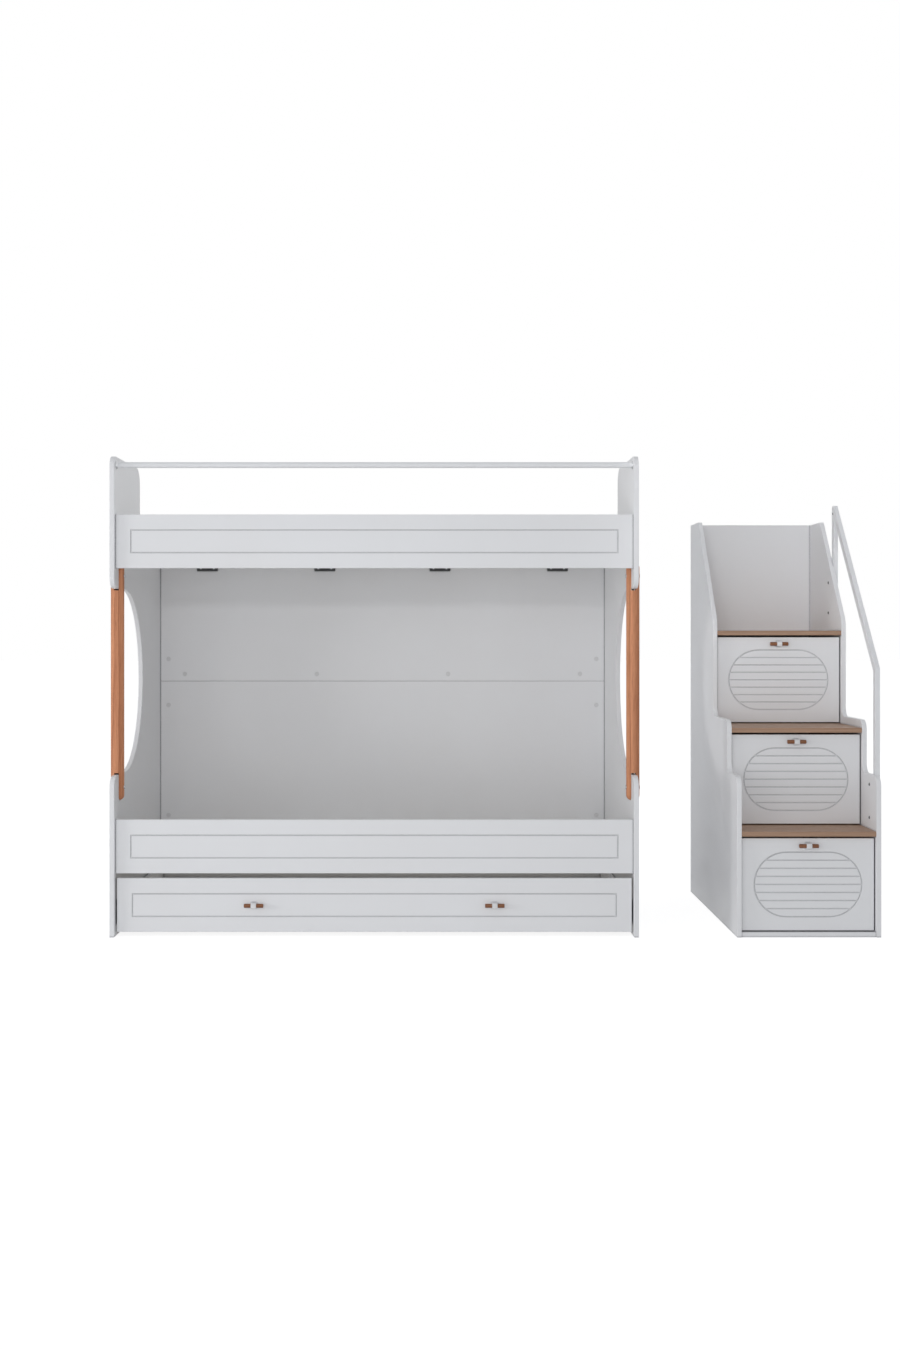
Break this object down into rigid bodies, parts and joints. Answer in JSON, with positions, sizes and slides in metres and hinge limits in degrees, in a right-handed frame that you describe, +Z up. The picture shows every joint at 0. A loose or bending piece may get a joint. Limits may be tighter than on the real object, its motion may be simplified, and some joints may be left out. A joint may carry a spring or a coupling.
{
  "type": "bunk bed with trundle and storage stairs",
  "caption": "White bunk bed with wooden posts, round-windowed ends, a pull-out trundle and a free-standing drawer staircase with handrail.",
  "frame": {"origin": "on the floor, under the middle of the bounding box of bed and stairs", "axes": "+X along the bed from its left end to the stairs, +Y from the front to the back, +Z up"},
  "size_m": [2.9036, 1.028, 1.79],
  "materials": {
    "white_board": "white satin laminate on board, soft edges",
    "post_wood": "stained, satin lacquer, long grain",
    "handle_wood": "dark stained, satin lacquer",
    "white_block": "white satin paint",
    "tread_wood": "brown wood-grain laminate, matt",
    "white_tube": "white powder coat",
    "dark_steel": "dark grey paint",
    "zinc_steel": "zinc plated",
    "white_plastic": "matt",
    "slat_wood": "plain softwood",
    "brown_board": "brown wood-grain laminate, matt",
    "box_board": "white matt laminate",
    "caster_wheel": "dark moulded plastic"
  },
  "bodies": {
    "bed_and_stairs": {"base_brackets": "dark_steel", "cam_caps": "white_plastic", "cam_locks": "zinc_steel", "drawer_runner_channels": "zinc_steel", "guard_tube": "white_tube", "guard_tube_sockets": "dark_steel", "handrail": "white_tube", "handrail_end_caps": "white_plastic", "handrail_screws": "zinc_steel", "handrail_upright": "white_tube", "left_end_panel": "white_board", "left_post": "post_wood", "lower_back_board": "white_board", "lower_base_bearers": "slat_wood", "lower_base_slats": "slat_wood", "lower_front_rail": "white_board", "lower_tread": "tread_wood", "middle_tread": "tread_wood", "post_bolts": "zinc_steel", "right_end_panel": "white_board", "right_post": "post_wood", "stair_back_panel": "white_board", "stair_base_board": "white_board", "stair_left_panel": "white_board", "stair_right_panel": "white_board", "upper_back_board": "white_board", "upper_base_bearers": "slat_wood", "upper_base_slats": "slat_wood", "upper_front_rail": "white_board", "upper_tread": "tread_wood"},
    "trundle": {"caster_axles": "zinc_steel", "caster_forks": "zinc_steel", "trundle_back": "white_board", "trundle_base": "brown_board", "trundle_front": "white_board", "trundle_handle_blocks": "white_block", "trundle_handle_dowels": "handle_wood", "trundle_sides": "white_board"},
    "lower_drawer": {"lower_drawer_bottom": "brown_board", "lower_drawer_box": "box_board", "lower_drawer_front": "white_board", "lower_drawer_handle_block": "white_block", "lower_drawer_handle_dowel": "handle_wood", "lower_drawer_slides": "zinc_steel"},
    "middle_drawer": {"middle_drawer_bottom": "brown_board", "middle_drawer_box": "box_board", "middle_drawer_front": "white_board", "middle_drawer_handle_block": "white_block", "middle_drawer_handle_dowel": "handle_wood", "middle_drawer_slides": "zinc_steel"},
    "upper_drawer": {"upper_drawer_bottom": "brown_board", "upper_drawer_box": "box_board", "upper_drawer_front": "white_board", "upper_drawer_handle_block": "white_block", "upper_drawer_handle_dowel": "handle_wood", "upper_drawer_slides": "zinc_steel"},
    "front_left_wheel": {"front_left_wheel": "caster_wheel"},
    "front_right_wheel": {"front_right_wheel": "caster_wheel"},
    "rear_left_wheel": {"rear_left_wheel": "caster_wheel"},
    "rear_right_wheel": {"rear_right_wheel": "caster_wheel"}
  },
  "joints": [
    {"name": "trundle_slide", "type": "slide", "parent": "bed_and_stairs", "child": "trundle", "axis": [0, -1, 0], "range_m": [0, 0.8]},
    {"name": "lower_drawer_slide", "type": "slide", "parent": "bed_and_stairs", "child": "lower_drawer", "axis": [0, -1, 0], "range_m": [0, 0.33]},
    {"name": "middle_drawer_slide", "type": "slide", "parent": "bed_and_stairs", "child": "middle_drawer", "axis": [0, -1, 0], "range_m": [0, 0.33]},
    {"name": "upper_drawer_slide", "type": "slide", "parent": "bed_and_stairs", "child": "upper_drawer", "axis": [0, -1, 0], "range_m": [0, 0.33]},
    {"name": "front_left_wheel_spin", "type": "hinge", "parent": "trundle", "child": "front_left_wheel", "pos_m": [-1.25825, -0.358, 0.025], "axis": [1, 0, 0], "continuous": true},
    {"name": "front_right_wheel_spin", "type": "hinge", "parent": "trundle", "child": "front_right_wheel", "pos_m": [0.35975, -0.358, 0.025], "axis": [1, 0, 0], "continuous": true},
    {"name": "rear_left_wheel_spin", "type": "hinge", "parent": "trundle", "child": "rear_left_wheel", "pos_m": [-1.25825, 0.314, 0.025], "axis": [1, 0, 0], "continuous": true},
    {"name": "rear_right_wheel_spin", "type": "hinge", "parent": "trundle", "child": "rear_right_wheel", "pos_m": [0.35975, 0.314, 0.025], "axis": [1, 0, 0], "continuous": true}
  ],
  "couplings": [
    {"joint": "front_left_wheel_spin", "follows": "trundle_slide", "rad_per_m": 40},
    {"joint": "front_right_wheel_spin", "follows": "trundle_slide", "rad_per_m": 40},
    {"joint": "rear_left_wheel_spin", "follows": "trundle_slide", "rad_per_m": 40},
    {"joint": "rear_right_wheel_spin", "follows": "trundle_slide", "rad_per_m": 40}
  ]
}
